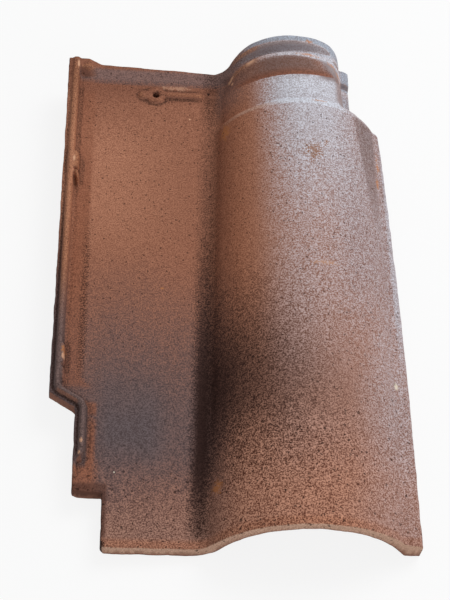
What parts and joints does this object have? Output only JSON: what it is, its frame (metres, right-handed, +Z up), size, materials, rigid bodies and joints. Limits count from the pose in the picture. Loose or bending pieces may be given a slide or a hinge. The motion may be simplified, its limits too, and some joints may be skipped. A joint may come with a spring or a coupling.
{
  "type": "interlocking clay roof tile",
  "caption": "Pressed clay roof tile with a flat pan, a tapered roll, a stepped head collar, side and head ribs, a nail hole and hanging nibs.",
  "frame": {"origin": "middle of the footprint, on the floor that the tile lies on", "axes": "+X across the slope from the pan to the roll, +Y up the slope from nose to head, +Z up; the tile lies on its right nib, the inner edge of its pan's nose and the outer corner of its lip, so its pan leans by about 5 degrees"},
  "size_m": [0.2608, 0.4316, 0.0696],
  "materials": {
    "fired_clay": "matt engobe on fired red clay, flashed darker in bands, with a pale bloom on the roll"
  },
  "bodies": {
    "root": {"roof_tile": "fired_clay"}
  },
  "joints": []
}
